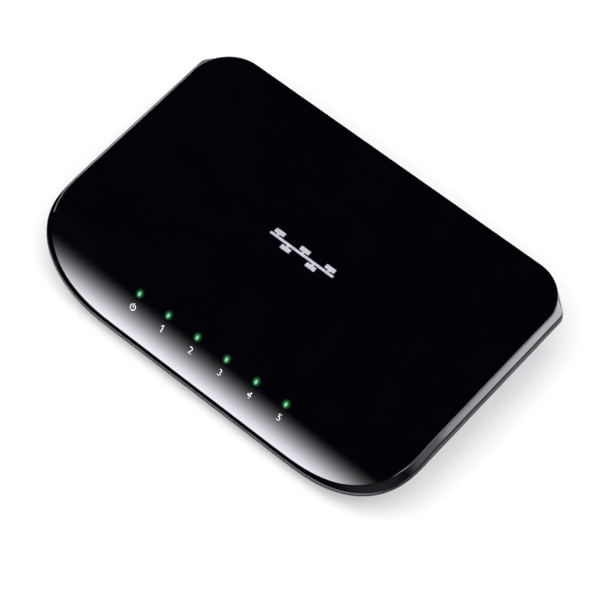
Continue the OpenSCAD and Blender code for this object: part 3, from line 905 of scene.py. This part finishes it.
def make_power_inlet():
    lo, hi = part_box("dc_jack_body")
    pin_lo, pin_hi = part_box("dc_jack_pin")
    cx, cz = (pin_lo.x + pin_hi.x) / 2, (pin_lo.z + pin_hi.z) / 2
    half, bore = (hi.x - lo.x) / 2, 3.2 * MM
    body = add_piece("power_inlet", box_mesh("power_inlet", lo, hi, 0.4 * MM, 3))
    face_on = Matrix.Rotation(-math.pi / 2, 4, "X")
    depth = hi.y - pin_lo.y
    hollow = lathe("hollow", [(0, -depth), (bore, -depth), (bore, -0.5 * MM), (bore + 0.55 * MM, 0.05 * MM),
                              (0, 0.05 * MM)], 64)
    leaf_lo, leaf_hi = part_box("dc_jack_spring")
    slot = block(span(cx, 1.9 * MM), (leaf_lo.y - 0.4 * MM, leaf_hi.y + 0.6 * MM),
                 (leaf_lo.z - 0.5 * MM, cz - 2 * MM))
    step = block(span(cx, half + MM), (lo.y - MM, lo.y + 3 * MM), (hi.z - 1.6 * MM, hi.z + MM))
    combine(body, [moved(hollow, (cx, hi.y, cz), face_on), slot, step])
    shade(body.data)
    dress(body, "jack_plastic", replaces=["dc_jack_body"])

    r, length = (pin_hi.x - pin_lo.x) / 2, pin_hi.y - pin_lo.y
    profile = [(0, 0), (r, 0), (r, length - 0.7 * r)]
    profile += [(r * math.cos(a), length - 0.7 * r * (1 - math.sin(a))) for a in (0.3, 0.6, 0.9, 1.2, 1.45)]
    pin = add_piece("power_pin", moved(lathe("pin", profile + [(0, length)]), (cx, pin_lo.y, cz), face_on))
    combine(pin, [block(span(cx, 0.12 * MM), (pin_hi.y - 4 * MM, pin_hi.y + MM), span(cz, 2 * MM))])
    shade(pin.data)
    dress(pin, "tin", replaces=["dc_jack_pin"])


# ---------------------------------------------------------------- feet, screws and label

def make_feet():
    for name in FEET:
        lo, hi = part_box(name)
        r, h = (hi.x - lo.x) / 2, hi.z - lo.z
        arc = [(r - 0.5 * MM + 0.5 * MM * math.sin(a), 0.5 * MM - 0.5 * MM * math.cos(a))
               for a in [math.pi / 2 * k / 6 for k in range(7)]]
        profile = [(0, 0.25 * MM), (0.45 * r, 0.22 * MM), (0.55 * r, 0.0)] + arc
        profile += [(r, h - 0.15 * MM), (r - 0.15 * MM, h), (0, h)]
        mesh = moved(lathe(name, profile, 64), ((lo.x + hi.x) / 2, (lo.y + hi.y) / 2, lo.z))
        pad = add_piece(name + "_pad", mesh)
        shade(pad.data)
        dress(pad, "foot_rubber", replaces=[name])


def screw_mesh(head_r, head_h, shaft_r, length):
    """Pan-head screw standing on its head, with a ridged shank; make_screws cuts its cross recess."""
    dome = [(head_r * math.sin(a), 0.45 * head_h * (1 - math.cos(a))) for a in
            [math.pi / 2 * k / 6 for k in range(7)]]
    profile = dome + [(head_r, head_h - 0.1 * MM), (head_r - 0.1 * MM, head_h), (shaft_r, head_h)]
    z = head_h + 0.4 * MM
    while z < head_h + length - 1.2 * MM:
        profile += [(0.78 * shaft_r, z), (shaft_r, z + 0.22 * MM), (0.78 * shaft_r, z + 0.44 * MM)]
        z += 0.55 * MM
    profile += [(0.7 * shaft_r, head_h + length - 0.6 * MM), (0, head_h + length)]
    return lathe("screw", profile, 32)


def make_screws(name, node, spots, head_r, shaft_r, length, top_down):
    lo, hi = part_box(node)
    turn = Matrix.Rotation(math.pi, 4, "X") if top_down else Matrix.Identity(4)
    single = screw_mesh(head_r, 1.6 * MM, shaft_r, length)
    z = hi.z if top_down else lo.z
    piece = add_piece(name, joined(name, [moved(single, (x, y, z), turn) for x, y in spots]))
    slots = []
    for x, y in spots:
        slots.append(block(span(x, 0.58 * head_r), span(y, 0.28 * MM), span(z, 0.9 * MM)))
        slots.append(block(span(x, 0.28 * MM), span(y, 0.58 * head_r), span(z, 0.9 * MM)))
    combine(piece, slots)
    shade(piece.data)
    dress(piece, "screw_steel", replaces=[node])


def make_label():
    """Plain label with a printed frame and grey fields, and no wording."""
    lo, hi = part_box("rating_label")
    film = add_piece("label_sheet", box_mesh("label_sheet", lo, hi, 0.1 * MM, 1))
    dress(film, "label_film", replaces=["rating_label"])
    inks = []
    under = (lo.z - 0.012 * MM, lo.z + 0.05 * MM)
    edge, line = 1.6 * MM, 0.35 * MM
    x0, x1, y0, y1 = lo.x + edge, hi.x - edge, lo.y + edge, hi.y - edge
    inks += [block((x0, x1), (y, y + line), under) for y in (y0, y1 - line)]
    inks += [block((x, x + line), (y0 + line, y1 - line), under) for x in (x0, x1 - line)]
    for row in range(4):
        y = y0 + (3.2 + 4.3 * row) * MM
        inks.append(block((x0 + 3 * MM, x0 + (22 + 3 * (row % 2)) * MM), (y, y + 1.6 * MM), under))
        inks.append(block((x0 + 31 * MM, x0 + (50 - 5 * (row % 2)) * MM), (y, y + 1.6 * MM), under))
    dress(add_piece("label_print", joined("label_print", inks)), "grey_ink")


# ---------------------------------------------------------------- CAD nodes that stay

def dress_cad_nodes():
    """Gives each CAD node that still shows the material of its slot."""
    slots = {part["node"]: part["material_slot"] for part in frame["record"]["subparts"]}
    for name, node in frame["nodes"].items():
        if node.hide_render:
            continue
        node.data.materials.clear()
        node.data.materials.append(MATERIALS[slots[name]])


# ---------------------------------------------------------------- room, lights and camera

FRONT_TOP, FRONT_FOOT, FRONT_POWER = 0.62, -0.2, 18.0
FLOOR_LIFT = 0.18
RIGHT_POWER, LOW_RIGHT_SHARE, CORNER_POWER = 7.9, 0.22, 3.0
EDGE_POWER, LEFT_POWER, UNDER_POWER = 34.0, 0.6, 0.9
HAZE_POWER, CARD_POWER, FILL_POWER = 0.3, 2.2, 0.5
GLOSS_TINT = (0.975, 0.965, 1.04)
KEY_SIZE, KEY_ENERGY, KEY_DISTANCE = 1.5, 14.5, 1.4
KEY_DIRECTION = Vector((0.16, -0.2, 0.96))


def make_floor():
    mat, nodes, links, bsdf = new_material("floor_paper")
    cloud = object_noise(nodes, links, 30)
    vary(nodes, links, bsdf, cloud, "Base Color", 0.86, 0.88)
    bsdf.inputs["Roughness"].default_value = 0.9
    bsdf.inputs["Specular IOR Level"].default_value = 0.1
    bsdf.inputs["Emission Color"].default_value = (1, 1, 1, 1)
    bsdf.inputs["Emission Strength"].default_value = FLOOR_LIFT
    facing = nodes.new("ShaderNodeNewGeometry")
    clear = nodes.new("ShaderNodeBsdfTransparent")
    mix = nodes.new("ShaderNodeMixShader")
    links.new(facing.outputs["Backfacing"], mix.inputs[0])
    links.new(bsdf.outputs[0], mix.inputs[1])
    links.new(clear.outputs[0], mix.inputs[2])
    links.new(mix.outputs[0], nodes["Material Output"].inputs["Surface"])
    half = 3.0
    corners = [(-half, -half, 0), (half, -half, 0), (half, half, 0), (-half, half, 0)]
    mesh = mesh_of("floor", corners, [(0, 1, 2, 3)])
    floor = add_piece("floor", mesh)
    floor.data.materials.append(mat)
    floor.visible_glossy = False


def make_world():
    """White room for the eye, even light for matt surfaces, and patches of light in the dark for gloss."""
    world = bpy.data.worlds.new("studio")
    scene.world = world
    world.use_nodes = True
    nodes, links = world.node_tree.nodes, world.node_tree.links
    nodes.clear()
    coord = nodes.new("ShaderNodeTexCoord")
    split = nodes.new("ShaderNodeSeparateXYZ")
    links.new(coord.outputs["Generated"], split.inputs[0])
    x, y, z = split.outputs
    math_node = math_maker(nodes, links)

    def step(value, start, end):
        """0 before start, 1 after end, smooth between; start may be above end."""
        node = nodes.new("ShaderNodeMapRange")
        node.interpolation_type = "SMOOTHSTEP"
        links.new(value, node.inputs["Value"])
        if start < end:
            node.inputs["From Min"].default_value = start
            node.inputs["From Max"].default_value = end
        else:
            node.inputs["From Min"].default_value = end
            node.inputs["From Max"].default_value = start
            node.inputs["To Min"].default_value = 1
            node.inputs["To Max"].default_value = 0
        return node.outputs["Result"]

    def product(*factors):
        total = factors[0]
        for factor in factors[1:]:
            total = math_node("MULTIPLY", total, factor)
        return total

    # Each light is a patch of directions with soft sides: x is right, y rear, z up, and turn the heading
    # in radians from x towards y.
    turn = math_node("ARCTAN2", y, x)
    front = product(math_node("POWER", step(z, FRONT_TOP, FRONT_FOOT), 1.5), step(z, -0.52, -0.34),
                    step(y, -0.30, -0.55), step(x, -0.66, -0.54), step(x, -0.08, -0.20), FRONT_POWER)
    low_right = product(step(turn, -0.6, 0.15), step(z, -0.1, 0.05), LOW_RIGHT_SHARE)
    right = product(math_node("ADD", low_right, step(turn, math.radians(20.5), math.radians(26.6))),
                    step(turn, 1.4, 1.2), step(z, 0.0, 0.08), step(z, 0.5, 0.4), RIGHT_POWER)
    corner = product(step(turn, 0.75, 0.95), step(turn, 1.8, 1.6), step(z, -0.6, -0.4), step(z, 0.12, 0.0),
                     CORNER_POWER)
    band = product(step(z, 0.36, 0.42), step(z, 0.8, 0.74))
    edge = product(band, step(turn, -1.3, -1.0), step(turn, 0.9, 0.45), EDGE_POWER)
    far_edge = product(band, math_node("ADD", step(turn, 2.1, 2.3), step(turn, -2.0, -2.2)),
                       step(x, -0.46, -0.56), EDGE_POWER)
    left = product(step(x, -0.5, -0.7), step(y, 0.15, 0.32), step(z, -0.1, -0.25), LEFT_POWER)
    under = product(step(z, -0.76, -0.84), step(x, -0.39, -0.46), UNDER_POWER)
    haze = product(step(z, 0.42, 0.05), step(z, -0.75, -0.2), step(x, -0.3, 0.0), HAZE_POWER)
    card = product(step(z, -0.5, -0.7), step(x, 0.16, 0.28), step(y, 0.28, 0.50), CARD_POWER)
    gloss = front
    for light in (right, corner, edge, far_edge, left, under, haze, card):
        gloss = math_node("ADD", gloss, light)

    def background(colour, strength):
        node = nodes.new("ShaderNodeBackground")
        node.inputs["Color"].default_value = (*colour, 1)
        feed(links, node.inputs["Strength"], strength)
        return node.outputs[0]

    path = nodes.new("ShaderNodeLightPath")
    first = nodes.new("ShaderNodeMixShader")
    links.new(path.outputs["Is Glossy Ray"], first.inputs[0])
    links.new(background((1, 1, 1), FILL_POWER), first.inputs[1])
    links.new(background(GLOSS_TINT, gloss), first.inputs[2])
    second = nodes.new("ShaderNodeMixShader")
    links.new(path.outputs["Is Camera Ray"], second.inputs[0])
    links.new(first.outputs[0], second.inputs[1])
    links.new(background((1, 1, 1), 1.0), second.inputs[2])
    output = nodes.new("ShaderNodeOutputWorld")
    links.new(second.outputs[0], output.inputs["Surface"])


def make_key_light():
    """Broad soft lamp high above, a little to the right and to the front."""
    lamp = bpy.data.lights.new("key", "AREA")
    lamp.shape = "DISK"
    lamp.size = KEY_SIZE
    lamp.energy = KEY_ENERGY
    key = bpy.data.objects.new("key", lamp)
    scene.collection.objects.link(key)
    key.location = KEY_DIRECTION * KEY_DISTANCE
    key.rotation_euler = (-key.location).to_track_quat("-Z", "Y").to_euler()
    key.visible_glossy = False


def make_camera():
    azimuth, elevation, roll = (math.radians(a) for a in (42.03, 58.79, -1.26))
    distance, shift_right, shift_up = 972.4 * MM, 1.14 * MM, -14.34 * MM
    target = Vector((0, 0.4 * MM, TOP_Z))
    back = Vector((math.sin(azimuth) * math.cos(elevation), -math.cos(azimuth) * math.cos(elevation),
                   math.sin(elevation)))
    right = (-back).cross(Vector((0, 0, 1))).normalized()
    up = right.cross(-back)
    rolled_right = math.cos(roll) * right + math.sin(roll) * up
    rolled_up = math.cos(roll) * up - math.sin(roll) * right
    camera = bpy.data.objects.new("camera", bpy.data.cameras.new("camera"))
    scene.collection.objects.link(camera)
    camera.data.sensor_width = 36
    camera.data.lens = 166.7
    camera.data.clip_start = 0.01
    camera.rotation_mode = "QUATERNION"
    camera.location = target + back * distance + rolled_right * shift_right + rolled_up * shift_up
    camera.rotation_quaternion = Matrix((rolled_right, rolled_up, back)).transposed().to_quaternion()
    scene.camera = camera


make_camera()
make_floor()
make_world()
make_key_light()
scene.view_settings.view_transform = "Standard"

make_cover()
make_tray()
make_light_pipe()
make_legends()
make_mark()
make_ports()
make_power_inlet()
make_feet()
make_screws("case_screw_set", "case_screws", CASE_SCREWS, SCREW_HEAD_R, 1.15 * MM, 9 * MM, False)
make_screws("board_screw_set", "board_screws", BOARD_SCREWS, BOLT_HEAD_R, 0.95 * MM, 4 * MM, True)
make_label()
dress_cad_nodes()
